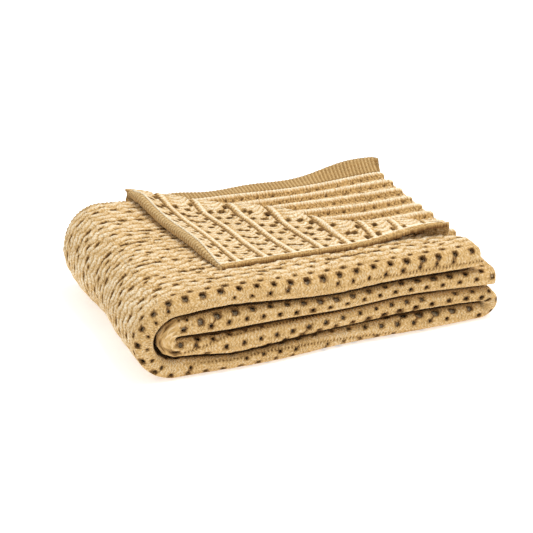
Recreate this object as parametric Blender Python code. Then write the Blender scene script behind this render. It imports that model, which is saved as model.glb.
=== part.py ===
"""Folded knitted throw: a four-ply band coiled into four leaves, with its top corner turned back.

The throw is one open-work knitted panel with a ribbed hem at each end of its width. It is folded
in four across its width, which makes a band of four plies, and the band is then coiled along its
length: top leaf, left roll, bottom leaf, right fold, third leaf, inner fold, second leaf.
Each leaf and each fold of the band is a solid of its own, and so is each stretch of hem.

+X runs along the front, +Y to the back and +Z up. The origin is the middle of the footprint.
"""

import math

import bmesh
import bpy
from mathutils import Matrix, Vector

# Driving dimensions, in metres.
THROW_LENGTH = 1.52  # along the hems
THROW_WIDTH = 1.27  # from hem to hem, laid out and smoothed flat
GATHER = 0.80  # relaxed width over smoothed width: the knit's ridges draw it in
PLIES = 4  # plies in the band after folding across the width
PLY = 0.0052  # loft of one ply
LEAF_GAP = 0.0012  # air between two leaves
CLEAR = 0.0003  # between two pieces that touch
HEM_WIDTH = 0.018
TOP_SETBACK = 0.026  # how far the top leaf's right end falls short of the right fold
SECOND_SETBACK = 0.006  # the same for the second leaf

# The corner of the top ply that is turned back over a diagonal crease.
CREASE_BACK_X = -0.123  # where the crease meets the back edge
CREASE_END_Y = -0.090  # where the crease meets the top leaf's right end
CORNER_TIP = (-0.094, -0.083)  # where the corner comes to lie
CREASE_RADIUS = 0.0055
CORNER_HEM_REACH = 0.009  # how far the corner's hem leans outwards
CORNER_HEM_TIP_REACH = 0.003

# Worked out from them.
LEAF = PLIES * PLY
PITCH = LEAF + LEAF_GAP
ROLL_RADIUS = 1.5 * PITCH  # to the middle of the band
FOLD_RADIUS = 0.5 * PITCH
STRAIGHTS = TOP_SETBACK + SECOND_SETBACK + 3 * LEAF + 2 * FOLD_RADIUS + 4 * ROLL_RADIUS
STACK_WIDTH = (THROW_LENGTH + STRAIGHTS - math.pi * (ROLL_RADIUS + 2 * FOLD_RADIUS)) / 4
STACK_DEPTH = THROW_WIDTH * GATHER / PLIES

Z_BOTTOM = LEAF / 2
Z_THIRD = Z_BOTTOM + PITCH
Z_SECOND = Z_THIRD + PITCH
Z_TOP = Z_SECOND + PITCH
Z_SURFACE = Z_TOP + LEAF / 2
Z_ROLL = (Z_BOTTOM + Z_TOP) / 2
Z_RIGHT = (Z_BOTTOM + Z_THIRD) / 2
X_ROLL = -STACK_WIDTH / 2 + LEAF / 2 + ROLL_RADIUS
X_RIGHT = STACK_WIDTH / 2 - LEAF / 2 - FOLD_RADIUS
X_SECOND_END = STACK_WIDTH / 2 - SECOND_SETBACK
X_TOP_END = STACK_WIDTH / 2 - TOP_SETBACK
Y_FRONT = -STACK_DEPTH / 2
Y_BACK = STACK_DEPTH / 2
Y_HEM = Y_BACK - HEM_WIDTH

ROUND_STEPS = 10  # facets on the rounded front edge
TURN_STEPS = 24  # facets on each half turn

UP = Vector((0, 0, 1))
DOWN = Vector((0, 0, -1))
PANEL_COLOUR = (0.70, 0.47, 0.21, 1.0)
HEM_COLOUR = (0.56, 0.36, 0.15, 1.0)


def clear_scene():
    for obj in list(bpy.data.objects):
        bpy.data.objects.remove(obj, do_unlink=True)


def knit_material(name, colour):
    material = bpy.data.materials.new(name)
    material.use_nodes = True
    shader = material.node_tree.nodes["Principled BSDF"]
    shader.inputs["Base Color"].default_value = colour
    shader.inputs["Roughness"].default_value = 0.9
    shader.inputs["Metallic"].default_value = 0.0
    return material


def place(name, data, parent, colour):
    """Put a mesh or curve in the throw's collection under its body's empty."""
    obj = bpy.data.objects.new(name, data)
    throw.objects.link(obj)
    obj.parent = parent
    data.materials.append(knit_material(name + "_knit", colour))
    return obj


def hinge_empty(name, matrix, parent=None):
    empty = bpy.data.objects.new(name, None)
    throw.objects.link(empty)
    empty.parent = parent
    empty.matrix_local = matrix
    return empty


def local_to(empty, mesh):
    """Move a mesh built in world space into its empty's own space."""
    mesh.transform(empty.matrix_world.inverted())
    return mesh


# Sections of the band: points (y, w), where w is the height towards the first ply's side.


def rounded_front(low, high):
    """The band's front edge, a half ellipse from the low side to the high side."""
    middle = (low + high) / 2
    reach = LEAF / 2
    points = []
    for step in range(ROUND_STEPS + 1):
        turn = math.pi * step / ROUND_STEPS
        points.append((Y_FRONT + reach * (1 - math.sin(turn)), middle - (high - low) / 2 * math.cos(turn)))
    return points


def leaf_section(high=LEAF / 2):
    """Plies three and four run to the back edge; plies one and two stop where the hems begin."""
    points = rounded_front(-LEAF / 2, high)
    points.append((Y_HEM - CLEAR, high))
    points.append((Y_HEM - CLEAR, -CLEAR))
    points.append((Y_BACK, -CLEAR))
    points.append((Y_BACK, -LEAF / 2))
    return points


def hem_section(ply):
    """The hem of ply 0, on the outside, or of ply 1, just inside it."""
    high = LEAF / 2 - ply * PLY
    low = high - PLY + CLEAR
    return [(Y_HEM, low), (Y_HEM, high), (Y_BACK, high), (Y_BACK, low)]


def section_face(shape, section, centre, side):
    """Stand a section in the band at a point of its middle line, with its first ply towards side."""
    corners = [shape.verts.new(centre + side * w + Vector((0, y, 0))) for y, w in section]
    return shape.faces.new(corners)


def finish(shape, name, parent, colour):
    bmesh.ops.recalc_face_normals(shape, faces=shape.faces)
    mesh = bpy.data.meshes.new(name)
    shape.to_mesh(mesh)
    shape.free()
    local_to(parent, mesh)
    obj = place(name, mesh, parent, colour)
    mesh.shade_smooth()
    mesh.set_sharp_from_angle(angle=math.radians(35))
    return obj


def straight_band(name, section, start, end, side, parent, colour):
    shape = bmesh.new()
    face = section_face(shape, section, Vector(start), side)
    grown = bmesh.ops.extrude_face_region(shape, geom=[face])
    moved = [item for item in grown["geom"] if isinstance(item, bmesh.types.BMVert)]
    bmesh.ops.translate(shape, verts=moved, vec=Vector(end) - Vector(start))
    return finish(shape, name, parent, colour)


def turned_band(name, section, start, pivot, side, angle, parent, colour):
    shape = bmesh.new()
    face = section_face(shape, section, Vector(start), side)
    bmesh.ops.spin(
        shape,
        geom=[face] + list(face.edges) + list(face.verts),
        cent=Vector(pivot),
        axis=Vector((0, 1, 0)),
        angle=angle,
        steps=TURN_STEPS,
        use_duplicate=False,
    )
    return finish(shape, name, parent, colour)


def flat_plate(name, outline, thickness, parent, colour):
    """A flat outline of (x, y) points in the parent's own plane, as a filled and extruded curve."""
    curve = bpy.data.curves.new(name, "CURVE")
    curve.dimensions = "2D"
    curve.fill_mode = "BOTH"
    curve.extrude = thickness / 2
    spline = curve.splines.new("POLY")
    spline.points.add(len(outline) - 1)
    for point, (x, y) in zip(spline.points, outline):
        point.co = (x, y, 0, 1)
    spline.use_cyclic_u = True
    return place(name, curve, parent, colour)


def half_turn(pivot_x, pivot_z, radius, side, angle):
    """Start point, pivot, side and angle of a half turn that begins above or below its pivot."""
    start = (pivot_x, 0, pivot_z + radius)
    return start, (pivot_x, 0, pivot_z), side, angle


def build_stack(stack):
    """The coil under the top leaf, each stretch with its two hems."""
    left = X_ROLL + CLEAR
    right = X_RIGHT - CLEAR
    straight = {
        "bottom_leaf": ((left, 0, Z_BOTTOM), (right, 0, Z_BOTTOM), DOWN),
        "third_leaf": ((left, 0, Z_THIRD), (right, 0, Z_THIRD), UP),
        "second_leaf": ((left, 0, Z_SECOND), (X_SECOND_END, 0, Z_SECOND), DOWN),
    }
    turned = {
        "left_roll": half_turn(X_ROLL, Z_ROLL, ROLL_RADIUS, UP, -math.pi),
        "right_fold": half_turn(X_RIGHT, Z_RIGHT, -FOLD_RADIUS, DOWN, -math.pi),
        "inner_fold": half_turn(X_ROLL, Z_ROLL, -FOLD_RADIUS, UP, math.pi),
    }
    parts = (
        ("", leaf_section(), PANEL_COLOUR),
        ("_first_hem", hem_section(0), HEM_COLOUR),
        ("_second_hem", hem_section(1), HEM_COLOUR),
    )
    for suffix, section, colour in parts:
        for name, run in straight.items():
            straight_band(name + suffix, section, *run, stack, colour)
        for name, turn in turned.items():
            turned_band(name + suffix, section, *turn, stack, colour)


def crease_x(y):
    """Where the crease crosses a line of constant y."""
    share = (Y_BACK - y) / (Y_BACK - CREASE_END_Y)
    return CREASE_BACK_X + share * (X_TOP_END - CREASE_BACK_X)


def build_top_leaf(top_leaf):
    start = (X_ROLL + CLEAR, 0, Z_TOP)
    end = (X_TOP_END, 0, Z_TOP)
    under = leaf_section(LEAF / 2 - PLY)
    straight_band("top_leaf_lower_plies", under, start, end, UP, top_leaf, PANEL_COLOUR)
    second_hem = hem_section(1)
    straight_band("top_leaf_second_hem", second_hem, start, end, UP, top_leaf, HEM_COLOUR)
    hem_end = (crease_x(Y_BACK) - CREASE_RADIUS, 0, Z_TOP)
    straight_band("top_leaf_first_hem", hem_section(0), start, hem_end, UP, top_leaf, HEM_COLOUR)

    hinge = top_leaf.matrix_world.translation
    outline = [
        (start[0], Y_FRONT + PLY),
        (X_TOP_END, Y_FRONT + PLY),
        (X_TOP_END, CREASE_END_Y),
        (crease_x(Y_HEM - CLEAR), Y_HEM - CLEAR),
        (start[0], Y_HEM - CLEAR),
    ]
    local = [(x - hinge.x, y - hinge.y) for x, y in outline]
    ply = flat_plate("top_leaf_upper_ply", local, PLY - CLEAR, top_leaf, PANEL_COLOUR)
    ply.location.z = Z_SURFACE - (PLY - CLEAR) / 2 - hinge.z


def build_crease(top_leaf, corner):
    """The rounded fold along the diagonal, on the axis that the corner turns about."""
    shape = bmesh.new()
    along = corner.matrix_world.to_3x3() @ Vector((1, 0, 0))
    quarter = Matrix.Rotation(math.pi / 2, 4, "Y")
    bmesh.ops.create_cone(
        shape,
        cap_ends=True,
        segments=20,
        radius1=CREASE_RADIUS,
        radius2=CREASE_RADIUS,
        depth=crease_length() - 4 * CREASE_RADIUS,
    )
    turn = Matrix.Rotation(math.atan2(along.y, along.x), 4, "Z")
    bmesh.ops.transform(
        shape,
        matrix=Matrix.Translation(corner.matrix_world.translation) @ turn @ quarter,
        verts=shape.verts,
    )
    finish(shape, "corner_crease", top_leaf, PANEL_COLOUR)


def crease_ends():
    return Vector((CREASE_BACK_X, Y_BACK, 0)), Vector((X_TOP_END, CREASE_END_Y, 0))


def crease_length():
    back, side = crease_ends()
    return (side - back).length


def corner_axis():
    """The crease's frame: X along the crease to the right end, Y out to the corner's tip."""
    back, side = crease_ends()
    middle = (back + side) / 2
    middle.z = Z_SURFACE + CREASE_RADIUS + CLEAR
    along = (side - back).normalized()
    out = UP.cross(along)
    if (Vector((*CORNER_TIP, 0)) - back).dot(out) < 0:
        out = -out
        along = -along
    reach = (Vector((*CORNER_TIP, 0)) - back).dot(out)
    drop = middle.z - (Z_SURFACE + PLY / 2 + CLEAR)
    frame = Matrix((along, out, UP)).transposed().to_4x4()
    tilt = Matrix.Rotation(-math.asin(drop / reach), 4, "X")
    return Matrix.Translation(middle) @ frame @ tilt


def build_corner(corner):
    """The turned-back corner: a three-sided ply, and its hem leaning down along one side."""
    to_local = corner.matrix_world.inverted()
    level = corner.matrix_world.translation.z
    back, side = crease_ends()
    back.z = side.z = level
    base = [to_local @ back, to_local @ side]
    tip = to_local @ Vector((*CORNER_TIP, Z_SURFACE + PLY / 2 + CLEAR))
    share = (CREASE_RADIUS + CLEAR) / tip.y
    near = [point.lerp(tip, share) for point in base]
    outline = [(point.x, point.y) for point in (near[0], near[1], tip)]
    flat_plate("corner_ply", outline, PLY, corner, PANEL_COLOUR)

    # The hem is a cube whose ends are drawn to the two ends of the side that it hangs from.
    shape = bmesh.new()
    cube = bmesh.ops.create_cube(shape, size=2.0)["verts"]
    run = (tip - near[0]).normalized()
    outwards = run.cross(Vector((0, 0, 1)))
    if outwards.dot(near[1] - tip) > 0:
        outwards = -outwards
    floor = corner.matrix_world.translation.z - Z_SURFACE - 2 * CLEAR
    for vert in cube:
        at_tip = vert.co.x > 0
        outside = vert.co.y > 0
        upper = vert.co.z > 0
        place_on = tip if at_tip else near[0]
        reach = CORNER_HEM_TIP_REACH if at_tip else CORNER_HEM_REACH
        low = -PLY / 2 if at_tip else -floor
        height = PLY / 2 if upper and not outside else low
        if upper and outside:
            height = low + PLY / 2
        shift = outwards * (reach if outside else CLEAR)
        vert.co = Vector((place_on.x, place_on.y, 0)) + shift + Vector((0, 0, height))
    bmesh.ops.transform(shape, matrix=corner.matrix_world, verts=shape.verts)
    finish(shape, "corner_hem", corner, HEM_COLOUR)


clear_scene()
throw = bpy.data.collections.new("folded_throw_blanket")
bpy.context.scene.collection.children.link(throw)

stack_body = hinge_empty("stack", Matrix.Identity(4))
lift_hinge = hinge_empty("top_leaf", Matrix.Translation((X_ROLL, 0, Z_SURFACE)), stack_body)
bpy.context.view_layer.update()
corner_frame = lift_hinge.matrix_world.inverted() @ corner_axis()
corner_hinge = hinge_empty("turned_corner", corner_frame, lift_hinge)
bpy.context.view_layer.update()

build_stack(stack_body)
build_top_leaf(lift_hinge)
build_crease(lift_hinge, corner_hinge)
build_corner(corner_hinge)
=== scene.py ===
"""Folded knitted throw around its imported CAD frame: every CAD solid is replaced by knitted cloth.

The cloth is one open-work panel with a ribbed hem at each end of its width. A point of it has two
pattern coordinates: a runs along the band from the top leaf's right end, and b runs across it,
from hem to hem. The panel is folded in four across its width, which is the ply path, and the band
of four plies is coiled along its length, which is the coil. Metres, with +X along the front,
+Y to the back and +Z up.
"""

import math

import bpy
import numpy as np
from mathutils import Matrix, Vector


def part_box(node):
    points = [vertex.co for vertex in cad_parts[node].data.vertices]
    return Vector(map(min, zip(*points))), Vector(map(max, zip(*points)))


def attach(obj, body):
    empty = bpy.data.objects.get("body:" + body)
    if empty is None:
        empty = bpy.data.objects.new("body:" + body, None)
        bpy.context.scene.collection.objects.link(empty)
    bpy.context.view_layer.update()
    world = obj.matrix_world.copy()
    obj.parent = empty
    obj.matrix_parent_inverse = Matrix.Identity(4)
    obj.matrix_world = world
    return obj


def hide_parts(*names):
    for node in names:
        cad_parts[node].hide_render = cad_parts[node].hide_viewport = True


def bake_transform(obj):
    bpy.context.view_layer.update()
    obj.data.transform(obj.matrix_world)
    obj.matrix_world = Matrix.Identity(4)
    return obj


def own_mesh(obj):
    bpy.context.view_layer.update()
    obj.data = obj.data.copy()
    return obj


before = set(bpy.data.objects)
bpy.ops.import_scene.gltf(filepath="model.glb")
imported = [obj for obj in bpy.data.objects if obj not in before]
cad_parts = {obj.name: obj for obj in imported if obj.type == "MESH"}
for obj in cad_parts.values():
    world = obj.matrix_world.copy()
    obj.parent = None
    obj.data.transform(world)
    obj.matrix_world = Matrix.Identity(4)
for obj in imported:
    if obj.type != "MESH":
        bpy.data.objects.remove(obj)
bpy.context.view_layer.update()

# The frame's dimensions.
bottom_low, bottom_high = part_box("bottom_leaf")
third_low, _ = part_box("third_leaf")
_, second_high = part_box("second_leaf")
_, top_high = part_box("top_leaf_lower_plies")
hem_low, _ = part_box("bottom_leaf_first_hem")
LEAF = bottom_high.z - bottom_low.z
PITCH = third_low.z - bottom_low.z
PLY = LEAF / 4
ROLL_RADIUS = 1.5 * PITCH
FOLD_RADIUS = 0.5 * PITCH
X_ROLL = bottom_low.x
X_RIGHT = bottom_high.x
X_SECOND_END = second_high.x
X_TOP_END = top_high.x
Z_BOTTOM = LEAF / 2
Z_THIRD = Z_BOTTOM + PITCH
Z_SECOND = Z_THIRD + PITCH
Z_TOP = Z_SECOND + PITCH
Z_SURFACE = Z_TOP + LEAF / 2
Y_HEM = hem_low.y
Y_FRONT = bottom_low.y
Y_BACK = bottom_high.y
Y_TURN = Y_FRONT + LEAF / 2  # where the plies start to turn at the front edge
Y_RETURN = Y_BACK - PLY  # where plies three and four turn at the back edge
HEM_WIDTH = Y_BACK - Y_HEM

# The knit.
CELL = 0.0183  # eyelet pitch along the band
RIDGE = 0.0265  # pitch of the ridges across the first and fourth plies
PLY2_RIDGE = 0.0240  # the same on the second ply, which lies corrugated
PLY2_SHIFT = 0.15  # where its first ridge lies from the hem, in pitches
FLAP_RIDGE = 0.0300  # the same on the turned corner, which lies stretched
FLAP_RIDGE_HEIGHT = 0.0011
FLAP_RIDGE_SIGMA = 0.0029  # half width of its ridges
FLAP_SHIFT = -0.27  # where its first ridge lies from the hem, in pitches
HALF = 0.0012  # half the thickness of the knit between its ropes
BACK_RELIEF = 0.5  # share of the relief that a sheet's hidden face has
END_ROUND = 0.0055  # how far the top leaf's right end is rounded off
END_SINK = 0.0012  # and how far its last line sinks
ROPES = 3  # ropes of the smooth face per ridge pitch
ROPE_HEIGHT = 0.0021
FRONT_ROPE = 0.25  # share of that height left round the front fold, where the cloth is stretched
RIDGE_HEIGHT = 0.0016
RIDGE_SIGMA = 0.0022  # half width of the ridges
RIB = 0.0044  # rib pitch of the hems
RIB_HEIGHT = 0.0009
STITCH = 0.0038  # stitches of the yarn, along a rope
COLUMN = RIDGE / 6  # and across it
TUCK = 0.00006  # how far a group's first line lies under the group before it
LINES = 10  # mesh lines per eyelet pitch
FINE = 24  # mesh lines per ridge pitch where the cloth shows
MIDDLING = 10
COARSE = 5
HEM_LINES = 6  # mesh lines per rib
# Eyelets of one cell of the smooth face: place along and across, in pitches, and radius.
EYELETS = (
    (0.50, 0.64, 0.0027),
    (0.74, 0.90, 0.0015),
    (0.05, 0.33, 0.0019),
    (0.98, 0.66, 0.0014),
)
BIG_EYELET = 0.0020  # radii above this are the big eyelets
SMALL_EYELET = 0.0015  # and below this the smallest
SLIT = (1.15, 0.50)  # their stretch along and across where the cloth lies flat, away from the front fold
EYELET_MARGIN = 0.15  # how far eyelets keep from a group's ends, in cells
BORDER_MARGIN = 0.1  # and from its other borders, in ridges
# Eyelets of one cell of the ridged face, which hang between two ridges: the same, with the
# radii along and across.
ARC_EYELETS = (
    (0.50, 0.15, 0.0017, 0.0013),
    (0.26, 0.28, 0.0017, 0.0014),
    (0.13, 0.48, 0.0017, 0.0020),
    (0.50, 0.72, 0.0019, 0.0014),
)
ARC_START, ARC_SPAN, ARC_DEPTH = 0.12, 0.66, 0.38  # where the arcs of rope hang, in pitches
# The share of the relief that is left on the rims of the eyelets.
RIM_RELIEF = 0.35
ARC_RIM_RELIEF = 0.4
# Each kind of sheet takes its noise from a level of its own.
OUTER_LEVEL, INNER_LEVEL, HEM_LEVEL, FLAP_LEVEL, FLAP_HEM_LEVEL = 0.0, 0.5, 0.8, 1.2, 1.7

# The turned corner, in the x-y plane: the ends of its fold, and the place of its tip.
FOLD_START = np.array((-0.121, 0.124))
FOLD_END = np.array((0.164, -0.083))
CORNER = np.array((-0.092, -0.079))
FOLD = FOLD_END - FOLD_START
FOLD_LENGTH = np.hypot(*FOLD)
ALONG_FOLD = FOLD / FOLD_LENGTH
FRONT_OF_FOLD = np.array((ALONG_FOLD[1], -ALONG_FOLD[0]))
HEM_SIDE = float(np.hypot(*(FOLD_START - CORNER)))
EDGE_SIDE = float(np.hypot(*(FOLD_END - CORNER)))
ALONG_HEM = (FOLD_START - CORNER) / HEM_SIDE
ALONG_EDGE = (FOLD_END - CORNER) / EDGE_SIDE
LOOP_RADIUS = 0.0050  # of the loop of cloth at the fold, and at its right end
LOOP_RADIUS_END = 0.0078


def smooth(x, low, high):
    """A soft step, from 0 up to low to 1 from high on."""
    t = np.clip((np.asarray(x, float) - low) / (high - low), 0, 1)
    return t * t * (3 - 2 * t)


def hill(x, centre, width):
    """1 at the centre, falling to nothing a few widths away."""
    return np.exp(-(((np.asarray(x, float) - centre) / width) ** 2))


# The coil: the band's middle line in the x-z plane, by the first ply's arc length.

W_FIRST = 1.5 * PLY  # from the band's middle to its first ply
# The first ply's arc lengths round the left roll, the right fold and the inner fold.
TURNS = tuple(
    math.pi * radius for radius in (ROLL_RADIUS + W_FIRST, FOLD_RADIUS + W_FIRST, FOLD_RADIUS - W_FIRST)
)
# A straight: its length, x at its two ends, height, and side of the first ply. A turn: its length,
# centre (x, z), radius, the side along x that it bulges to, the side along z that it starts from,
# and the side of the first ply against those two.
COIL = (
    ("straight", X_TOP_END - X_ROLL, X_TOP_END, X_ROLL, Z_TOP, 1),
    ("turn", TURNS[0], X_ROLL, (Z_TOP + Z_BOTTOM) / 2, ROLL_RADIUS, -1, 1, 1),
    ("straight", X_RIGHT - X_ROLL, X_ROLL, X_RIGHT, Z_BOTTOM, -1),
    ("turn", TURNS[1], X_RIGHT, (Z_BOTTOM + Z_THIRD) / 2, FOLD_RADIUS, 1, -1, 1),
    ("straight", X_RIGHT - X_ROLL, X_RIGHT, X_ROLL, Z_THIRD, 1),
    ("turn", TURNS[2], X_ROLL, (Z_THIRD + Z_SECOND) / 2, FOLD_RADIUS, -1, -1, -1),
    ("straight", X_SECOND_END - X_ROLL, X_ROLL, X_SECOND_END, Z_SECOND, -1),
)
COIL_LENGTH = sum(segment[1] for segment in COIL)
COIL_CELLS = COIL_LENGTH / CELL

# The cells of the right fold, where the fourth ply is squeezed inside the turn and shows no eyelets.
TURN_START_CELL = sum(segment[1] for segment in COIL[:3]) / CELL
RIGHT_TURN = (TURN_START_CELL - 0.3, TURN_START_CELL + COIL[3][1] / CELL + 0.3)


def follow(segments, distance, square=2.0):
    """Points of a path of straights and turns, and the direction of its side, by distance along it.

    square is the exponent of the turns' section: 2 for a half circle, more for a rounded square.
    """
    distance = np.asarray(distance, float)
    x, z, nx, nz = (np.zeros_like(distance) for _ in range(4))
    start = 0.0
    for kind, length, *rest in segments:
        inside = (distance >= start) if start else np.ones(distance.shape, bool)
        part = (distance[inside] - start) / length
        if kind == "straight":
            x0, x1, height, side = rest
            x[inside] = x0 + (x1 - x0) * part
            z[inside] = height
            nx[inside] = 0
            nz[inside] = side
        else:
            cx, cz, radius, across, up, side = rest
            sine, cosine = np.sin(math.pi * part), np.cos(math.pi * part)
            reach = radius * (np.abs(sine) ** square + np.abs(cosine) ** square) ** (-1 / square)
            x[inside] = cx + reach * across * sine
            z[inside] = cz + reach * up * cosine
            nx[inside] = side * across * sine
            nz[inside] = side * up * cosine
        start += length
    return x, z, nx, nz


def coil(a):
    """Points of the middle line (x, z), and the direction of the first ply's side (x, z)."""
    return follow(COIL, a)


# The ply path: a section of the band, by distance from the first hem. The numbers are the same as
# the coil's, with y and the height in the band (w) for x and z, and the side of the smooth face.

PATH = (
    ("straight", Y_HEM - Y_TURN, Y_HEM, Y_TURN, 1.5 * PLY, 1),
    ("turn", math.pi * 1.5 * PLY, Y_TURN, 0.0, 1.5 * PLY, -1, 1, 1),
    ("straight", Y_RETURN - Y_TURN, Y_TURN, Y_RETURN, -1.5 * PLY, -1),
    ("turn", math.pi * 0.5 * PLY, Y_RETURN, -PLY, 0.5 * PLY, 1, -1, 1),
    ("straight", Y_RETURN - Y_TURN, Y_RETURN, Y_TURN, -0.5 * PLY, 1),
    ("turn", math.pi * 0.5 * PLY, Y_TURN, 0.0, 0.5 * PLY, -1, -1, -1),
    ("straight", Y_HEM - Y_TURN, Y_TURN, Y_HEM, 0.5 * PLY, -1),
)
V_THIRD = sum(part[1] for part in PATH[:4])
V_INNER = V_THIRD + PATH[4][1]
V_END = sum(part[1] for part in PATH)
V_SPLIT = V_THIRD + 0.005  # where the outer sheet hands over to the inner one
SQUARE = 2.8  # exponent of the folds' rounded-square section; 2 would be a circle


def ply_path(v):
    """Place in the section (y, w), and the direction of the smooth face (y, w)."""
    return follow(PATH, v, SQUARE)


def place(a, y, w, my, mw, height):
    """World points of the band at height above the cloth's middle surface, towards (my, mw)."""
    x, z, nx, nz = coil(a)
    across = w + height * mw
    return np.stack([x + across * nx, y + height * my, z + across * nz], axis=-1)


# The stack is not as regular as its frame: the leaves' borders wave, and the roll is fuller behind.

FLOOR_GAP = 0.0001
# How far each border between two leaves lies from its regular height, at these places along x.
BORDER_X = (-0.150, -0.100, 0.020, 0.080, 0.200)
BORDERS = (
    (0.0, -0.0060, -0.0010, 0.0020, -0.0030),
    (0.0, -0.0030, -0.0020, -0.0015, -0.0070),
    (0.0, 0.0000, -0.0060, -0.0060, -0.0050),
)


def level_of(z):
    """Which leaf a height belongs to, from 0 at the bottom."""
    return np.clip(np.floor(z / PITCH), 0, 3)


def settle(points):
    """The whole stack's gentle sag and unevenness, applied to every piece alike."""
    x, y, z = (points[..., i].copy() for i in range(3))
    # The leaves are slightly thinner at the front.
    middle = (level_of(z) + 0.5) * PITCH - (PITCH - LEAF) / 2
    slim = 0.045 * smooth(-y, 0.100, 0.115) * smooth(x, -0.150, -0.135)
    z = z + (middle - z) * slim * (z > 0.004)
    # The borders between the leaves wave, most of all at the front.
    front = 1 - 0.6 * smooth(y, -0.10, 0.05)
    knots = [0.0]
    for level in range(1, 4):
        shift = np.interp(x, BORDER_X, BORDERS[level - 1]) * front
        knots.append(level * PITCH + shift)
    knots.append(4 * PITCH)
    lifted = z.copy()
    for level in range(4):
        inside = (z > level * PITCH) & (z <= (level + 1) * PITCH)
        part = z / PITCH - level
        new = knots[level] + part * (knots[level + 1] - knots[level])
        lifted = np.where(inside, new, lifted)
    z = lifted
    # The left side is fuller towards the back, and the surface undulates.
    high = np.clip(z / Z_SURFACE, 0, 1.2)
    left = 1 - smooth(x, -0.18, -0.08)
    full = 1 - smooth(x, -0.17, -0.03)
    z = z + (0.0075 * smooth(y, -0.05, 0.10) + 0.0050 * smooth(y, 0.06, 0.125)) * full * high
    z = z + high * 0.0012 * (np.sin(31 * x + 17 * y + 0.6) + 0.7 * np.sin(57 * y - 23 * x))
    x = x - left * (0.0050 * smooth(y, -0.03, 0.06) + 0.0040 * smooth(-y, 0.09, 0.12) * (1 - high))
    x = x + 0.0018 * np.sin(44 * y + 1.1) * smooth(-x, 0.10, 0.19)
    # At the right end the lower leaves reach out, the second less, and the top leaf only in front.
    on_top = smooth(z, 3 * PITCH - 0.006, 3 * PITCH - 0.003)
    stretch = (1 - 0.7 * smooth(z, 2 * PITCH - 0.008, 2 * PITCH - 0.003)) * (1 - on_top)
    stretch = stretch + smooth(-y, -0.02, 0.06) * on_top
    x = x + 0.0040 * smooth(x, 0.11, 0.19) * stretch
    # The front folds wander a little, and bulge in the left half of the lower leaves.
    y = y + 0.0012 * np.sin(39 * x + 80 * z) * smooth(-y, 0.06, 0.12)
    y = y - 0.0060 * hill(x, -0.10, 0.09) * smooth(-y, 0.05, 0.12) * (1 - 0.7 * high)
    z = np.maximum(z, FLOOR_GAP)
    return np.stack([x, y, z], axis=-1)


# Relief of the two faces, in metres, with the shade of each place from 0, deep, to 1, raised: painted
# shade in the hollows and a painted highlight on the raised places.


def smooth_face(cells, ridges, front):
    """Wavy ropes along the band; round the front fold they flatten, and a dotted purl line shows.

    Places are in eyelet cells along and ridges across, and front is 1 round the front fold.
    """
    phase = 2 * math.pi * cells
    slow = np.sin(0.31 * phase + 1.7 * ridges) + 0.6 * np.sin(0.77 * phase + 4.1 * ridges)
    sway = 0.16 * np.sin(phase + 1.9) + 0.10 * np.sin(2 * phase + 2.6 * ridges) + 0.16 * slow
    course = ROPES * ridges + sway * (1 - 0.6 * front)
    number = np.floor(course)
    across = 2 * (course - number) - 1
    rope = np.sqrt(np.clip(1 - across**2, 0, 1))
    strand = 0.5 + 0.5 * np.sin(phase + 2.1 * number + 1.4 * across)
    purl = hill(ridges - np.round(ridges), 0, 0.045) * front * np.interp(cells, PURL_CELLS, PURL_SHARES)
    dots = 0.5 + 0.5 * np.cos(2 * math.pi * 5 * cells)
    rise = ROPE_HEIGHT * (1 - (1 - FRONT_ROPE) * front)
    height = rise * rope * (0.72 + 0.28 * strand) * (1 - purl) + purl * (0.0011 * dots - 0.0006)
    # Painted shade and highlight: the ropes' hollows are painted dark and their tops light, the purl
    # line's groove is painted dark between its dots, and round the front fold the faces, turned from the
    # top light, are painted a plainer mid tone without lit crests.
    plain = (0.12 + 0.46 * rope + 0.21 * strand * rope) * (1 - front) + (0.37 + 0.14 * rope) * front
    shade = plain * (1 - purl) + purl * (0.02 + 0.5 * dots)
    return height, shade


def ridged_face(cells, ridges, pitch, high=RIDGE_HEIGHT, sigma=RIDGE_SIGMA):
    """A raised line at each whole number of ridges, and arcs of rope hanging between them."""
    inside = ridges - np.floor(ridges)
    off = np.minimum(inside, 1 - inside)
    bead = np.sin(2 * math.pi * 4 * cells + 3 * np.round(ridges))
    crest = hill(off * pitch, 0, sigma * (1 + 0.10 * bead))
    part = np.clip((inside - ARC_START) / ARC_SPAN, 0, 1)
    course = 3 * (cells - 0.5) + 3 * ARC_DEPTH * 4 * part * (1 - part)
    across = 2 * (course - np.floor(course)) - 1
    rope = np.sqrt(np.clip(1 - across**2, 0, 1))
    arcs = smooth(inside, 0.08, 0.16) * (1 - smooth(inside, 0.76, 0.86))
    # A gutter lies on both sides of a ridge, and a wider one on one side of the flap's wide ridges.
    gutter = hill(off * pitch, 0.0046, 0.0018) + 0.8 * hill(inside, 0.86, 0.06) * (sigma > RIDGE_SIGMA)
    height = high * crest * (1 + 0.20 * bead) + 0.0013 * rope * arcs - 0.0007 * gutter
    # Painted shade and highlight: the gutters and the gaps between the arcs are painted dark as shade,
    # and the crests light as a painted highlight.
    shade = 0.22 + (0.60 * rope - 0.04) * arcs - 0.14 * gutter
    return height, np.clip(shade + (0.66 + 0.10 * bead) * crest, 0, 1)


def ribs(along):
    """Ribs across a hem."""
    wave = np.cos(2 * math.pi * along / RIB)
    height = RIB_HEIGHT * (0.5 + 0.5 * wave)
    # The grooves between the ribs are painted dark as shade, and the ribs light as a painted highlight.
    return height, 0.12 + 0.52 * (0.5 + 0.5 * wave)


# Meshes.


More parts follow.
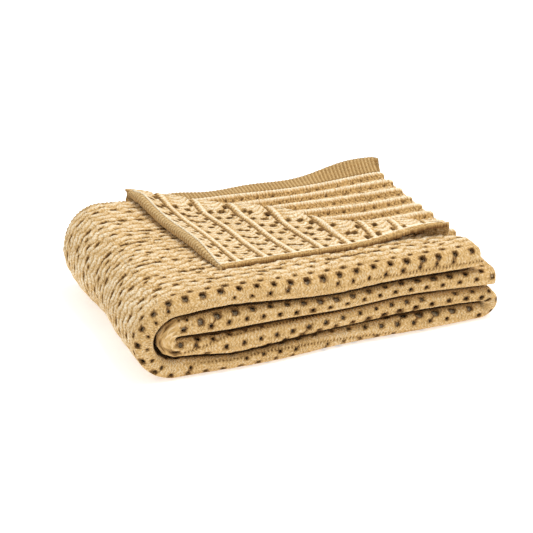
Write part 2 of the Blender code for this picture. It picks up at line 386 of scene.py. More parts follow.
def open_eyelets(a_lines, b_lines, eyelets, least=2):
    """Grid coordinates with holes: returns the a and b grids, the kept quads and the holes' rims."""
    a_grid, b_grid = np.meshgrid(a_lines, b_lines, indexing="ij")
    keep = np.ones((len(a_lines) - 1, len(b_lines) - 1), bool)
    rim = np.zeros(a_grid.shape, bool)
    for ca, cb, ra, rb in eyelets:
        i0 = int(np.searchsorted(a_lines, ca - 0.9 * ra) - 1)
        i1 = int(np.searchsorted(a_lines, ca + 0.9 * ra))
        j0 = int(np.searchsorted(b_lines, cb - 0.9 * rb) - 1)
        j1 = int(np.searchsorted(b_lines, cb + 0.9 * rb))
        if i0 < 1 or j0 < 1 or i1 > len(a_lines) - 2 or j1 > len(b_lines) - 2:
            continue
        if i1 - i0 < least or j1 - j0 < least:
            continue
        if b_lines[j1] - b_lines[j0] > 3.2 * rb or a_lines[i1] - a_lines[i0] > 3.6 * ra:
            continue
        if rim[i0 : i1 + 1, j0 : j1 + 1].any():
            continue
        keep[i0:i1, j0:j1] = False
        ai, bj = a_grid[i0 : i1 + 1, j0 : j1 + 1], b_grid[i0 : i1 + 1, j0 : j1 + 1]
        middle_a, middle_b = (a_lines[i0] + a_lines[i1]) / 2, (b_lines[j0] + b_lines[j1]) / 2
        span_a, span_b = a_lines[i1] - a_lines[i0], b_lines[j1] - b_lines[j0]
        turn = np.arctan2((bj - middle_b) / span_b, (ai - middle_a) / span_a)
        a_grid[i0 : i1 + 1, j0 : j1 + 1] = ca + ra * np.cos(turn)
        b_grid[i0 : i1 + 1, j0 : j1 + 1] = cb + rb * np.sin(turn)
        rim[i0 : i1 + 1, j0 : j1 + 1] = True
    return a_grid, b_grid, keep, rim


def whole_quads(mask):
    """The quads with all four corners in the mask."""
    return mask[:-1, :-1] & mask[1:, :-1] & mask[1:, 1:] & mask[:-1, 1:]


def build(name, top, bottom, shade_top, shade_bottom, knit, material, keep=None):
    """A closed sheet between two grids of points, without the quads that keep leaves out.

    The knit's three numbers place the material's pattern. The rims at the grid's two ends along a
    are flat-shaded, so that a group's shading runs on into the next group's.
    """
    top, bottom = settle(top), settle(bottom)
    knit = np.stack(np.broadcast_arrays(*knit), axis=-1)
    count_a, count_b = top.shape[:2]
    total = count_a * count_b
    index = np.arange(total).reshape(count_a, count_b)
    quads = np.stack([index[:-1, :-1], index[1:, :-1], index[1:, 1:], index[:-1, 1:]], axis=-1)
    if keep is None:
        keep = np.ones(quads.shape[:2], bool)
    quads = quads[keep]
    along = top[1:, :-1] - top[:-1, :-1]
    over = top[:-1, 1:] - top[:-1, :-1]
    outward = top[:-1, :-1] - bottom[:-1, :-1]
    if (np.cross(along, over)[keep] * outward[keep]).sum() < 0:
        quads = quads[:, ::-1]
    edges = np.concatenate([quads[:, [0, 1]], quads[:, [1, 2]], quads[:, [2, 3]], quads[:, [3, 0]]])
    key = np.sort(edges, axis=1)
    key = key[:, 0].astype(np.int64) * total + key[:, 1]
    _, first, counts = np.unique(key, return_index=True, return_counts=True)
    border = edges[first[counts == 1]]
    rims = np.stack([border[:, 1], border[:, 0], border[:, 0] + total, border[:, 1] + total], axis=-1)
    faces = np.concatenate([quads, quads[:, ::-1] + total, rims])
    points = np.concatenate([top.reshape(-1, 3), bottom.reshape(-1, 3)])
    shades = np.concatenate([shade_top.ravel(), shade_bottom.ravel()])
    places = np.concatenate([knit.reshape(-1, 3), knit.reshape(-1, 3)])
    end_lines = (border // count_b == 0) | (border // count_b == count_a - 1)
    flat = np.zeros(len(faces), bool)
    flat[2 * len(quads) :] = end_lines.all(axis=1)
    used, faces = np.unique(faces, return_inverse=True)
    faces = faces.reshape(-1, 4)
    mesh = bpy.data.meshes.new(name)
    mesh.vertices.add(len(used))
    mesh.vertices.foreach_set("co", points[used].astype(np.float32).ravel())
    mesh.loops.add(faces.size)
    mesh.loops.foreach_set("vertex_index", faces.astype(np.int32).ravel())
    mesh.polygons.add(len(faces))
    mesh.polygons.foreach_set("loop_start", np.arange(0, faces.size, 4, dtype=np.int32))
    shade = mesh.attributes.new("shade", "FLOAT", "POINT")
    shade.data.foreach_set("value", shades[used].astype(np.float32))
    where = mesh.attributes.new("knit", "FLOAT_VECTOR", "POINT")
    where.data.foreach_set("vector", places[used].astype(np.float32).ravel())
    mesh.update()
    mesh.validate()
    mesh.polygons.foreach_set("use_smooth", ~flat)
    mesh.materials.append(material)
    obj = bpy.data.objects.new(name, mesh)
    bpy.context.scene.collection.objects.link(obj)
    return obj


# Materials.


def calculate(tree, operation, *inputs):
    """A maths node on sockets and numbers; returns its output socket."""
    node = tree.nodes.new("ShaderNodeMath")
    node.operation = operation
    for socket, value in zip(node.inputs, inputs):
        if isinstance(value, bpy.types.NodeSocket):
            tree.links.new(value, socket)
        else:
            socket.default_value = value
    return node.outputs["Value"]


def noise(tree, place_at, scale, detail):
    """A noise texture at the given place; returns its value, about 0.5 on average."""
    texture = tree.nodes.new("ShaderNodeTexNoise")
    texture.inputs["Scale"].default_value = scale
    texture.inputs["Detail"].default_value = detail
    texture.inputs["Roughness"].default_value = 0.6
    tree.links.new(place_at, texture.inputs["Vector"])
    return texture.outputs["Fac"]


def attribute(tree, name, output):
    """One output of the named mesh attribute."""
    node = tree.nodes.new("ShaderNodeAttribute")
    node.attribute_name = name
    return node.outputs[output]


PATCH = 0.25  # how much of the colour changes from patch to patch
STITCH_COLOUR, STITCH_BUMP = 0.075, 0.26  # how much the stitches show
STITCH_WOBBLE, STITCH_SLANT = 3.0, 1.1  # their unevenness, and the slant of the V, in stitches


def knit_material(name, deep, body, crest, speckle, along, across):
    """Wool-like yarn: V stitches and fibres in colour and bump, with painted shade and highlight from
    the shade attribute.
    """
    material = bpy.data.materials.new(name)
    material.use_nodes = True
    tree = material.node_tree
    link = tree.links.new
    shader = tree.nodes["Principled BSDF"]
    shader.inputs["Roughness"].default_value = 0.88
    shader.inputs["Specular IOR Level"].default_value = 0.18
    shader.inputs["Sheen Weight"].default_value = 0.10
    shader.inputs["Sheen Roughness"].default_value = 0.5
    shader.inputs["Sheen Tint"].default_value = (1.0, 0.86, 0.62, 1.0)
    knit = attribute(tree, "knit", "Vector")
    fibre = noise(tree, knit, 480, 3)
    patch = noise(tree, knit, 26, 2)
    wobble = noise(tree, knit, 90, 1)
    parts = tree.nodes.new("ShaderNodeSeparateXYZ")
    link(knit, parts.inputs["Vector"])
    column = calculate(tree, "DIVIDE", parts.outputs[across], COLUMN)
    leg = calculate(tree, "PINGPONG", column, 0.5)
    row = calculate(tree, "DIVIDE", parts.outputs[along], STITCH)
    row = calculate(tree, "MULTIPLY_ADD", wobble, STITCH_WOBBLE, row)
    row = calculate(tree, "MULTIPLY_ADD", leg, STITCH_SLANT, row)
    stitch = calculate(tree, "SINE", calculate(tree, "MULTIPLY", row, 2 * math.pi))
    depth = attribute(tree, "shade", "Fac")
    value = calculate(tree, "MULTIPLY_ADD", fibre, speckle, depth)
    value = calculate(tree, "MULTIPLY_ADD", patch, PATCH, value)
    value = calculate(tree, "MULTIPLY_ADD", stitch, STITCH_COLOUR, value)
    value = calculate(tree, "SUBTRACT", value, (speckle + PATCH) / 2)
    # The ramp runs from the painted shade colour of the knit's hollows through the yarn's own body
    # colour to the cream painted highlight of its crests.
    ramp = tree.nodes.new("ShaderNodeValToRGB")
    ramp.color_ramp.elements[0].position = 0.05
    ramp.color_ramp.elements[0].color = (*deep, 1)
    ramp.color_ramp.elements[1].position = 0.92
    ramp.color_ramp.elements[1].color = (*crest, 1)
    ramp.color_ramp.elements.new(0.46).color = (*body, 1)
    link(value, ramp.inputs["Fac"])
    link(ramp.outputs["Color"], shader.inputs["Base Color"])
    bump = tree.nodes.new("ShaderNodeBump")
    bump.inputs["Strength"].default_value = 1.0
    bump.inputs["Distance"].default_value = 0.0011
    link(calculate(tree, "MULTIPLY_ADD", stitch, STITCH_BUMP, fibre), bump.inputs["Height"])
    link(bump.outputs["Normal"], shader.inputs["Normal"])
    return material


# Each yarn's colours: the painted shade of its hollows, its own body colour and the painted highlight of
# its crests, then how much its fibres speckle.
PANEL_KNIT = knit_material(
    "panel_knit_yarn", (0.17, 0.080, 0.022), (0.63, 0.395, 0.150), (0.95, 0.83, 0.61), 0.85, "X", "Y"
)
HEM_KNIT = knit_material(
    "hem_knit_yarn", (0.30, 0.165, 0.055), (0.52, 0.335, 0.135), (0.72, 0.53, 0.28), 0.45, "Y", "X"
)

# The panel's sheets, group by group along the coil.

GROUPS = (
    ("top_leaf", 0.0, 19.0),
    ("left_roll", 19.0, 26.0),
    ("bottom_leaf", 26.0, 42.0),
    ("right_fold", 42.0, 49.0),
    ("third_leaf", 49.0, 66.0),
    ("second_leaf", 66.0, COIL_CELLS),
)
# How far the pattern drifts across the band round the front fold, in metres, by cell.
DRIFT_CELLS = (0, 8, 18, 26, 30, 44, 48, 62, 67, 84)
DRIFTS = (0.002, 0.001, 0.001, 0.004, 0.006, -0.014, -0.017, -0.0085, 0.016, 0.018)
# How much of the purl line shows round the front fold, by cell.
PURL_CELLS = (6, 9, 25, 27, 37, 40, 53, 56, 66, 68)
PURL_SHARES = (1, 0, 0, 1, 1, 0, 0, 1, 1, 0)
# How deep the painted shade is on each group's first and fourth plies in the gaps between the leaves.
GAP_SHADE_DEPTHS = {
    "top_leaf": (0.0, 0.8),
    "left_roll": (0.0, 0.8),
    "bottom_leaf": (0.0, 1.0),
    "right_fold": (0.0, 1.0),
    "third_leaf": (1.0, 1.0),
    "second_leaf": (1.0, 0.8),
}


def fold_distance(x, y):
    """Distance in front of the corner's fold curve, and the share of the way along it."""
    rx, ry = x - FOLD_START[0], y - FOLD_START[1]
    t = (rx * ALONG_FOLD[0] + ry * ALONG_FOLD[1]) / FOLD_LENGTH
    return rx * FRONT_OF_FOLD[0] + ry * FRONT_OF_FOLD[1] - fold_bow(t), t


def fold_bow(t):
    """How far the fold curve lies in front of the straight line between its ends."""
    return 0.005 + 0.020 * hill(t, 0.70, 0.13) - 0.005 * np.sin(math.pi * np.clip(t / 0.6, 0, 1)) ** 2


def fold_point(t):
    """Point of the fold curve in the plane, and the direction out of the turned corner."""

    def on_curve(t):
        """Points of the fold curve."""
        return FOLD_START + t[..., None] * FOLD + fold_bow(t)[..., None] * FRONT_OF_FOLD

    point = on_curve(t)
    tangent = on_curve(t + 1e-3) - point
    tangent /= np.linalg.norm(tangent, axis=-1, keepdims=True)
    out = np.stack([-tangent[..., 1], tangent[..., 0]], axis=-1)
    return point, out


def lines(first, last, per_unit):
    """Evenly spaced mesh lines."""
    count = max(2, int(round((last - first) * per_unit)) + 1)
    return np.linspace(first, last, count)


def joined(*parts):
    """Runs of mesh lines, each of which starts where the one before it ends."""
    return np.concatenate([parts[0]] + [part[1:] for part in parts[1:]])


def end_lines(a_lines):
    """The same lines, with more of them over the rounded end of the top leaf."""
    if a_lines[0] > 0:
        return a_lines
    rounded = END_ROUND * (1 - np.cos(np.linspace(0, math.pi / 2, 8)[:-1]))
    return np.concatenate([rounded, a_lines[a_lines > END_ROUND * 0.95]])


def end_fall(a):
    """The share of its relief that the cloth loses towards the top leaf's right end."""
    return 1 - np.sqrt(1 - np.clip(1 - a / END_ROUND, 0, 1) ** 2)


def drift_of(cells, ridges):
    """How far the pattern has drifted across the band at the front fold, in ridges."""
    drift = np.interp(cells, DRIFT_CELLS, DRIFTS)
    return drift / RIDGE * smooth(ridges, 7.4, 8.3) * (1 - smooth(ridges, 10.0, 10.8))


def round_front(ridges):
    """1 round the front fold, 0 where the cloth lies flat."""
    return smooth(ridges, 8.0, 8.5) * (1 - smooth(ridges, 9.9, 10.3))


def uneven(cell, ridge, along):
    """Small steady differences from one eyelet to the next, between -1 and 1."""
    return math.sin(7.1 * cell + 3.3 * ridge + 11 * along)


def smooth_eyelets(first, last, end, detailed):
    """Eyelets of the smooth face: centre and half widths, in metres along and ridges across."""
    found = []
    for cell in range(int(math.floor(first)), int(math.ceil(last))):
        for ridge in range(int(math.ceil(end))):
            for along, across, radius in EYELETS:
                odd = uneven(cell, ridge, along)
                a = cell + along + 0.05 * odd
                b = ridge + across + 0.03 * odd
                b += float(drift_of(a, b))
                front = float(round_front(b))
                if radius < BIG_EYELET and not (detailed and b < 10.2 or 8.0 < b < 10.2):
                    continue
                if radius < SMALL_EYELET and front > 0.3:
                    continue
                if RIGHT_TURN[0] < a < RIGHT_TURN[1] and b > 9.1:
                    continue
                size = radius * (1 + 0.16 * math.sin(5.3 * cell + 9.7 * ridge + 4 * across))
                if radius > BIG_EYELET:
                    size *= 1 + front * float(0.35 * hill(a, 40, 3) - 0.45 * hill(a, 31, 5))
                long, wide = (part + (1 - part) * front for part in SLIT)
                inside = first + EYELET_MARGIN < a < last - EYELET_MARGIN
                if inside and BORDER_MARGIN < b < end - BORDER_MARGIN:
                    found.append((a * CELL, b, size * long, size * wide / RIDGE))
    return found


def arc_eyelets(first, last, low, high, pitch, shift):
    """Eyelets of the ridged face; shift is where its ridges lie, in pitches."""
    found = []
    for cell in range(int(math.floor(first)) - 1, int(math.ceil(last))):
        for ridge in range(int(math.floor(low)) - 1, int(math.ceil(high)) + 1):
            for along, across, radius_a, radius_b in ARC_EYELETS:
                odd = uneven(cell, ridge, along)
                a = cell + along + 0.04 * odd
                b = ridge + across + shift
                size = 1 + 0.15 * math.sin(5.3 * cell + 9.7 * ridge + 4 * across)
                inside = first + EYELET_MARGIN < a < last - EYELET_MARGIN
                if inside and low + BORDER_MARGIN < b < high - BORDER_MARGIN:
                    found.append((a * CELL, b, radius_a * size, radius_b * size / pitch))
    return found


def gap_shade(name, x, b):
    """How deep the cloth lies in the gap between two leaves, as painted shade from 0 to 1."""
    first, fourth = GAP_SHADE_DEPTHS[name]
    under = 1 - smooth(x, X_SECOND_END - 0.012, X_SECOND_END - 0.002)
    if fourth == 1:
        near = 1 - smooth(b, 12.0, 13.0)
    else:
        near = (1 - smooth(b, 9.8, 10.2)) * (1 - smooth(x, X_TOP_END - 0.014, X_TOP_END - 0.004))
    ply_one = first * under * smooth(b, 5.0, 6.0) * (1 - smooth(b, 8.36, 8.62))
    return ply_one + fourth * near * smooth(b, 9.34, 9.60)


def outer_sheet(name, first, last):
    """Plies one and four with the front fold between them and the back fold after them."""
    b_turn, b_end = PATH[0][1] / RIDGE, V_SPLIT / RIDGE
    b_back = b_end - 0.6
    face = FINE if name in ("top_leaf", "left_roll", "right_fold") else COARSE
    under = MIDDLING if name in ("top_leaf", "second_leaf") else COARSE
    b_lines = joined(
        lines(0, 8.0, face),
        lines(8.0, 10.0, FINE),
        lines(10.0, b_back, under),
        lines(b_back, b_end, 14),
    )
    a_lines = end_lines(lines(first, last, LINES) * CELL)
    if first:
        a_lines = np.concatenate([[a_lines[0] - 0.5 * CELL / LINES], a_lines])
    eyelets = smooth_eyelets(first, last, b_end, face == FINE)
    a, b, keep, rim = open_eyelets(a_lines, b_lines, eyelets)
    if name == "top_leaf":
        # The first ply ends at the crease of its turned corner.
        distance, _ = fold_distance(X_TOP_END - a, Y_HEM - b * RIDGE)
        outside = (b < b_turn) & (distance < 0)
        keep &= ~whole_quads(outside)
        a = np.where(outside, a + distance * FRONT_OF_FOLD[0], a)
        b = np.where(outside, b + distance * FRONT_OF_FOLD[1] / RIDGE, b)
    cells = a / CELL
    drifted = b - drift_of(cells, b)
    y, w, my, mw = ply_path(b * RIDGE)
    relief, shade_top = smooth_face(cells, drifted, round_front(b))
    back_relief, shade_bottom = ridged_face(cells, drifted, RIDGE)
    calm = np.where(rim, RIM_RELIEF, 1.0)
    tuck = TUCK * (a < (first - 1e-6) * CELL)
    fall = end_fall(a)
    top = place(a, y, w, my, mw, HALF + relief * calm * (1 - fall) - END_SINK * fall - tuck)
    bottom = place(a, y, w, my, mw, -HALF - BACK_RELIEF * back_relief * calm)
    # Painted shade: the cloth is darkened in the gaps between the leaves.
    shade_top = np.where(rim, 0.05, shade_top) - 0.9 * gap_shade(name, top[..., 0], b)
    # The eyelets' rims on both faces are painted dark as shade, and the hidden face, seen through the
    # eyelets, is painted at half its shade.
    shade_bottom = 0.5 * np.where(rim, 0.2, shade_bottom)
    knit = (a, b * RIDGE, OUTER_LEVEL)
    return build(name + "_outer_knit", top, bottom, shade_top, shade_bottom, knit, PANEL_KNIT, keep)


def uncovered_share(a, y):
    """1 where the turned corner leaves the top leaf's second ply uncovered, 0 under the first."""
    distance, _ = fold_distance(X_TOP_END - a, y)
    return smooth(-distance, -0.004, 0.016)


def inner_sheet(name, first, last):
    """Plies three and two with the inner front fold between them."""
    top_leaf = name == "top_leaf"
    full = (V_END - V_SPLIT) / PLY2_RIDGE  # ridges counted from the second hem
    inner = (V_END - V_INNER) / PLY2_RIDGE
    b_lines = joined(
        lines(0.0, inner - 0.6, 20 if top_leaf else COARSE),
        lines(inner - 0.6, inner + 1.0, MIDDLING),
        lines(inner + 1.0, full, 4),
    )
    a_lines = end_lines(lines(first, last, LINES if top_leaf else LINES / 2) * CELL)
    eyelets = arc_eyelets(first, last, 0, inner - 0.3, PLY2_RIDGE, PLY2_SHIFT) if top_leaf else []
    a, b, keep, rim = open_eyelets(a_lines, b_lines, eyelets)
    y, w, my, mw = ply_path(V_END - b * PLY2_RIDGE)
    relief, shade_top = ridged_face(a / CELL, b - PLY2_SHIFT, PLY2_RIDGE)
    smooth_relief, shade_bottom = smooth_face(a / CELL, b, np.zeros_like(b))
    calm = np.where(rim, ARC_RIM_RELIEF, 1.0)
    lift = 0.0
    if top_leaf:
        # Where it is uncovered, the second ply swells into a corrugated surface, and its free end
        # is scalloped.
        uncovered = uncovered_share(a, y) * (b < inner - 0.4)
        part = np.mod(b - PLY2_SHIFT, 1.0)
        wave = np.cos(2 * math.pi * part**0.6)
        at_end = 1 - smooth(a, 0.0, 0.010)
        lift = uncovered * (0.0012 + 0.0026 * wave * (1 - 0.45 * at_end))
        lift = lift - 2 * END_SINK * uncovered * end_fall(a)
        relief = relief * (1 - 0.8 * end_fall(a))
        # Painted shade: the steep slope in front of each ridge, which faces the front and away from the
        # top light, is painted darker.
        shaded_slope = smooth(part, 0.05, 0.12) * (1 - smooth(part, 0.26, 0.50))
        shade_top = shade_top - 0.24 * uncovered * shaded_slope
        a = a - 0.0034 * np.cos(2 * math.pi * (b - PLY2_SHIFT)) * at_end * uncovered
    top = place(a, y, w, my, mw, -HALF - relief * calm - lift)
    bottom = place(a, y, w, my, mw, HALF + BACK_RELIEF * smooth_relief * calm - lift)
    # The eyelets' rims are painted dark as shade.
    shade_top = np.where(rim, 0.25, shade_top)
    knit = (a, b * PLY2_RIDGE, INNER_LEVEL)
    return build(name + "_inner_knit", top, bottom, shade_top, shade_bottom, knit, PANEL_KNIT, keep)


HEM_SPLIT = 15.0  # the cell where the bending part of the top leaf's second hem starts


def rounded(u):
    """A hem's thickness across its width: less at its two edges."""
    return np.sqrt(np.clip(1 - ((u - 0.5) / 0.56) ** 4, 0.02, 1))


def hem(name, first, last, ply, label):
    """A ribbed hem, beyond the first ply (0) or the second (1)."""
    a_lines = lines(first * CELL, last * CELL, HEM_LINES / RIB)
    a, u = np.meshgrid(a_lines, np.linspace(0.0, 1.0, 9), indexing="ij")
    y = Y_HEM + HEM_WIDTH * u
    w = np.full_like(a, (1.5 if ply == 0 else 0.5) * PLY)
    relief, shade = ribs(a)
    edge = rounded(u)
    thick = HALF * 0.9 * edge + relief * edge
    # At the back edge the hems bend towards the middle of the band.
    bend = (0.0068 if ply == 0 else 0.0038) * u**2
    up = -bend
    if ply == 1 and name == "top_leaf":
        # The second hem shows behind the turned corner, and curls up at the leaf's right end.
        x = X_TOP_END - a
        curl = smooth(x, 0.02, 0.165)
        up = 0.0048 * smooth(x, -0.13, -0.06) + curl * (0.006 * u + 0.008 * u * u)
        up = up + 0.0015 * np.sin(60 * x) * u - bend * (1 - smooth(x, -0.13, -0.09))
        y = y - 0.004 * curl * u - 0.0085 * end_fall(a) * u
    top = place(a, y, w + up, 0.0, 1.0, thick)
    bottom = place(a, y, w + up, 0.0, 1.0, -thick)
    knit = (a, u * HEM_WIDTH, HEM_LEVEL)
    return build(name + label, top, bottom, shade, shade, knit, HEM_KNIT)


# The turned corner: its own sheet of the first ply, ridged face up, with the crease and its hem.

FLAP_MIDDLE = Z_SURFACE + PLY / 2
Z_LOOP = Z_TOP + 1.5 * PLY  # the middle of the first ply, where the loop starts
HEM_RISE = 0.0085  # how high the turned hem stands above the flap
HEM_CURL = 0.0045  # radius of its curl
HEM_CURL_WIDTH = 0.0145


def loop_radius(t):
    """Radius of the loop of cloth at the fold, by the share of the way along it."""
    return LOOP_RADIUS + (LOOP_RADIUS_END - LOOP_RADIUS) * smooth(t, 0.55, 0.97)


def flap_coordinates(x, y):
    """Distances from the corner along its hem and along its selvage."""
    matrix = np.array([ALONG_HEM, ALONG_EDGE]).T
    inverse = np.linalg.inv(matrix)
    rx, ry = x - CORNER[0], y - CORNER[1]
    return inverse[0, 0] * rx + inverse[0, 1] * ry, inverse[1, 0] * rx + inverse[1, 1] * ry


def hem_rise(p):
    """How high the turned hem's upper edge stands above the flap, from the tip to its back end."""
    return HEM_RISE * smooth(p, -0.004, 0.05) + 0.0015 * smooth(p, 0.10, 0.19)


def flap_height(x, y):
    """Height of the turned corner's middle surface, which rises to its fold and to its hem."""
    distance, t = fold_distance(x, y)
    p, q = flap_coordinates(x, y)
    z_loop = Z_LOOP + 2 * loop_radius(t)
    reach = 0.020 + 0.030 * smooth(t, 0.6, 0.95)
    near = 1 - smooth(distance, 0.0, reach)
    z = FLAP_MIDDLE + (z_loop - FLAP_MIDDLE) * near
    return z + hem_rise(p) * np.exp(-np.clip(q, 0, 1) / 0.016) * (1 - near)


def flap_sheet():
    """The turned corner's panel, as a grid clipped by the fold curve."""
    p_cells, q_ridges = HEM_SIDE / CELL, EDGE_SIDE / FLAP_RIDGE
    p_lines = lines(0.0, p_cells + 0.5, 14) * CELL
    q_lines = lines(0.0, q_ridges + 0.4, FINE)
    eyelets = []
    for p, q, rp, rq in arc_eyelets(0, p_cells + 1, 0, q_ridges + 1, FLAP_RIDGE, FLAP_SHIFT):
        x, y = CORNER + p * ALONG_HEM + q * FLAP_RIDGE * ALONG_EDGE
        distance, _ = fold_distance(x, y)
        if distance > 0.006 and p > 0.007:
            # The eyelets are larger near the fold, and smaller near the selvage.
            grow = 1.12 + 0.35 * float(1 - smooth(distance, 0.01, 0.08))
            grow -= 0.15 * float(1 - smooth(p, 0.01, 0.05))
            eyelets.append((p, q, rp * grow, rq * grow))
    p, q, keep, rim = open_eyelets(p_lines, q_lines, eyelets)
    qm = q * FLAP_RIDGE
    x = CORNER[0] + p * ALONG_HEM[0] + qm * ALONG_EDGE[0]
    y = CORNER[1] + p * ALONG_HEM[1] + qm * ALONG_EDGE[1]
    distance, _ = fold_distance(x, y)
    outside = distance < 0
    keep &= ~whole_quads(outside)
    x = np.where(outside, x - distance * FRONT_OF_FOLD[0], x)
    y = np.where(outside, y - distance * FRONT_OF_FOLD[1], y)
    relief, shade = ridged_face(
        p / CELL, q - FLAP_SHIFT, FLAP_RIDGE, FLAP_RIDGE_HEIGHT, FLAP_RIDGE_SIGMA
    )
    selvage = hill(p, 0.0062, 0.0013)
    border = np.clip(hill(qm, 0.0, 0.0014) + selvage, 0, 1)
    outer_edge = 1 - smooth(p, 0.0030, 0.0052)
    relief = relief * (1 - 0.8 * selvage) * (1 - outer_edge) + 0.0005 * selvage + 0.0004 * outer_edge
    # The line along the selvage and the edge at the hem are painted light as highlight, and the rolled
    # outer edge is painted a darker golden tone as shade.
    shade = np.clip(shade + 0.6 * border, 0, 1) * (1 - outer_edge) + 0.34 * outer_edge
    back_relief, back_shade = smooth_face(p / CELL, q, np.zeros_like(q))
    calm = np.where(rim, ARC_RIM_RELIEF, 1.0)
    z = flap_height(x, y) - 0.0010 * (1 - smooth(p, 0.0, 0.0030))
    # The selvage sways a little.
    sway = 0.0030 * np.sin(34 * (x + 0.095)) * (1 - smooth(p, 0.0, 0.05))
    y = y + sway * (1 - smooth(-distance, -0.02, 0.0))
    top = np.stack([x, y, z + (HALF + relief * calm)], axis=-1)
    bottom = np.stack([x, y, z - (HALF + BACK_RELIEF * back_relief * calm)], axis=-1)
    # The eyelets' rims are painted dark as shade.
    shade = np.where(rim, 0.0, shade)
    # Painted shadow: the underside is painted dark along the flap's front edge, as the contact shadow
    # beneath it.
    back_shade = back_shade * smooth(p, 0.0, 0.0020)
    knit = (p, qm, FLAP_LEVEL)
    return build("turned_corner_knit", top, bottom, shade, back_shade, knit, PANEL_KNIT, keep)


def crease_strip():
    """The loop of cloth at the fold: from the first ply's edge over the back to the flap."""
    t_lines = np.linspace(-0.01, 0.985, 260)
    turns = np.linspace(0.0, math.pi, 15)
    t, turn = np.meshgrid(t_lines, turns, indexing="ij")
    point, out = fold_point(t)
    radius = loop_radius(t)
    reach = radius * np.sin(turn) * (1.0 + 0.1 * np.sin(9 * t))
    x, y = (point[..., i] + out[..., i] * reach for i in range(2))
    height = Z_LOOP + radius - radius * np.cos(turn)
    middle = np.stack([x, y, height], axis=-1)
    normal = np.concatenate([out * np.sin(turn)[..., None], -np.cos(turn)[..., None]], axis=-1)
    arc = radius * (math.pi - turn)
    p, q = flap_coordinates(*(point[..., i] + out[..., i] * arc for i in range(2)))
    relief, shade = ridged_face(
        p / CELL, q / FLAP_RIDGE - FLAP_SHIFT, FLAP_RIDGE, FLAP_RIDGE_HEIGHT, FLAP_RIDGE_SIGMA
    )
    _, inner_shade = smooth_face(p / CELL, q / FLAP_RIDGE, np.zeros_like(q))
    top = middle + normal * (HALF + relief)[..., None]
    bottom = middle - normal * HALF
    knit = (p, q, FLAP_LEVEL)
    # The loop's inner face is painted at 0.7 of its shade, as the shade inside the loop.
    return build("corner_crease_knit", top, bottom, shade, 0.7 * inner_shade, knit, PANEL_KNIT)


def flap_hem():
    """The turned corner's ribbed hem, which curls down and under from the flap's left edge."""
    p_lines = lines(0.0, HEM_SIDE - 0.001, HEM_LINES / RIB)
    p, u = np.meshgrid(p_lines, np.linspace(0.0, 1.0, 15), indexing="ij")
    x0 = CORNER[0] + p * ALONG_HEM[0]
    y0 = CORNER[1] + p * ALONG_HEM[1]
    z0 = flap_height(x0, y0)
    radius = np.minimum(HEM_CURL, np.clip(z0 - Z_SURFACE - 0.0012, 0.002, 0.02) / 2.1)
    turn = 1.03 * math.pi * u
    reach = 0.0004 + radius * np.sin(turn)
    x = x0 - reach * ALONG_EDGE[0]
    y = y0 - reach * ALONG_EDGE[1]
    middle = np.stack([x, y, z0 - radius * (1 - np.cos(turn))], axis=-1)
    normal = np.stack(
        [-np.sin(turn) * ALONG_EDGE[0], -np.sin(turn) * ALONG_EDGE[1], np.cos(turn)], axis=-1
    )
    relief, shade = ribs(p)
    # The turned hem is painted lighter than the other hems, as a painted highlight for the hem lit on
    # top.
    shade = shade + 0.16
    edge = rounded(u)
    thick = (HALF * 0.8 * edge)[..., None]
    top = middle + normal * (thick + (0.6 * relief * edge)[..., None])
    bottom = middle - normal * thick
    knit = (p, u * HEM_CURL_WIDTH, FLAP_HEM_LEVEL)
    return build("turned_corner_hem_rib", top, bottom, shade, shade, knit, HEM_KNIT)


# What each group stands for in the CAD model: the solids of its outer and inner sheet, and the
# parts whose hems are its own.

REPLACED = {
    "top_leaf": (("top_leaf_upper_ply",), ("top_leaf_lower_plies",), ("top_leaf",)),
    "left_roll": (("left_roll",), (), ("left_roll",)),
    "bottom_leaf": (("bottom_leaf",), (), ("bottom_leaf",)),
    "right_fold": (("right_fold",), (), ("right_fold",)),
    "third_leaf": (("third_leaf", "inner_fold"), (), ("third_leaf", "inner_fold")),
    "second_leaf": (("second_leaf",), (), ("second_leaf",)),
}
FIRST_HEM_START = (X_TOP_END - FOLD_START[0]) / CELL  # the cell where the corner's fold meets the hem


def finish_piece(obj, group, replaced):
    """Body and CAD solids of one piece."""
    if group == "top_leaf":
        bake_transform(obj)
    else:
        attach(obj, "stack")
    if replaced:
        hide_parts(*replaced)


for group, first, last in GROUPS:
    outer_nodes, inner_nodes, hem_parts = REPLACED[group]
    outer = outer_sheet(group, first, last)
    finish_piece(outer, group, outer_nodes)
    inner = inner_sheet(group, first, last)
    finish_piece(inner, group, inner_nodes)
    starts = (FIRST_HEM_START, HEM_SPLIT) if group == "top_leaf" else (first, first)
    for ply, which in enumerate(("first", "second")):
        hem_nodes = [f"{part}_{which}_hem" for part in hem_parts]
        rib = hem(group, starts[ply], last, ply, f"_{which}_hem_rib")
        finish_piece(rib, group, hem_nodes)

# The rest of the top leaf's second hem stands up at rest.
free_hem = hem("top_leaf", 0.0, HEM_SPLIT, 1, "_free_hem_rib")
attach(free_hem, "top_leaf")
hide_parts("top_leaf_second_hem")
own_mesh(free_hem)

corner = flap_sheet()
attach(corner, "turned_corner")
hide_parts("corner_ply")

corner_hem = flap_hem()
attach(corner_hem, "turned_corner")
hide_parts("corner_hem")

crease = crease_strip()
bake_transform(crease)
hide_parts("corner_crease")

# Camera, floor and light.

AZIMUTH = math.radians(-22.1)
ELEVATION = math.radians(24.65)
DISTANCE = 1.75
SLIDE = -0.0112  # the camera's shift to its own right
RAISE = 0.0373  # and upwards
LENS = 109.3  # millimetres
SENSOR = 36
FLOOR_HALF = 6.0
PAPER = (0.93, 0.93, 0.93, 1)
GLOW = 0.45  # a lit sweep: shadows stay faint
WHITE = (1, 1, 1, 1)
WORLD_STRENGTH = 0.78

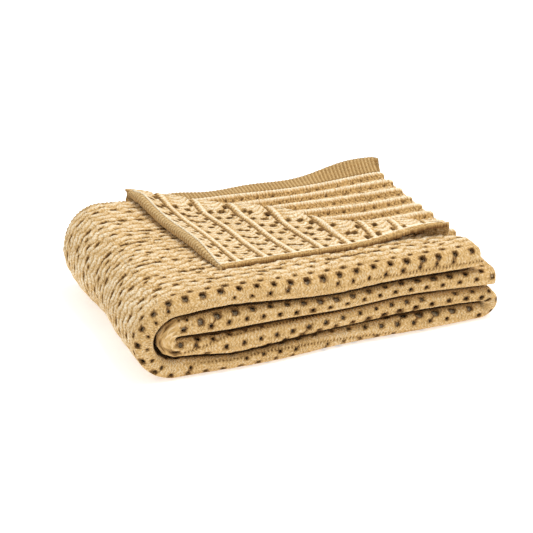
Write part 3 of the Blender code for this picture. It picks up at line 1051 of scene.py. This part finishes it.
back = Vector(
    (
        math.sin(AZIMUTH) * math.cos(ELEVATION),
        -math.cos(AZIMUTH) * math.cos(ELEVATION),
        math.sin(ELEVATION),
    )
)
right = Vector((math.cos(AZIMUTH), math.sin(AZIMUTH), 0))
up = back.cross(right)
camera_data = bpy.data.cameras.new("camera")
camera_data.lens = LENS
camera_data.sensor_width = SENSOR
camera = bpy.data.objects.new("camera", camera_data)
camera.matrix_world = Matrix.Translation(back * DISTANCE + right * SLIDE + up * RAISE) @ Matrix(
    (right, up, back)
).transposed().to_4x4()
bpy.context.scene.collection.objects.link(camera)
bpy.context.scene.camera = camera

floor_material = bpy.data.materials.new("floor_paper")
floor_material.use_nodes = True
floor_shader = floor_material.node_tree.nodes["Principled BSDF"]
floor_shader.inputs["Base Color"].default_value = PAPER
floor_shader.inputs["Roughness"].default_value = 0.9
floor_shader.inputs["Specular IOR Level"].default_value = 0.1
floor_shader.inputs["Emission Color"].default_value = WHITE
floor_shader.inputs["Emission Strength"].default_value = GLOW
floor_mesh = bpy.data.meshes.new("floor")
corners = [(-1, -1), (1, -1), (1, 1), (-1, 1)]
floor_mesh.from_pydata([(FLOOR_HALF * x, FLOOR_HALF * y, 0) for x, y in corners], [], [(0, 1, 2, 3)])
floor_mesh.materials.append(floor_material)
floor = bpy.data.objects.new("floor", floor_mesh)
bpy.context.scene.collection.objects.link(floor)

world = bpy.data.worlds.new("studio")
world.use_nodes = True
world.node_tree.nodes["Background"].inputs["Color"].default_value = WHITE
world.node_tree.nodes["Background"].inputs["Strength"].default_value = WORLD_STRENGTH
bpy.context.scene.world = world

LIGHT_PLACE = Vector((0.45, -0.05, 1.8))
LIGHT_TARGET = Vector((0, 0, 0.05))
light_data = bpy.data.lights.new("soft_top", "AREA")
light_data.shape = "SQUARE"
light_data.size = 0.9
light_data.energy = 22
light_data.color = (1.0, 0.985, 0.96)
light = bpy.data.objects.new("soft_top", light_data)
light.location = LIGHT_PLACE
light.rotation_euler = (LIGHT_TARGET - LIGHT_PLACE).to_track_quat("-Z", "Y").to_euler()
bpy.context.scene.collection.objects.link(light)
bpy.context.scene.view_settings.view_transform = "Standard"
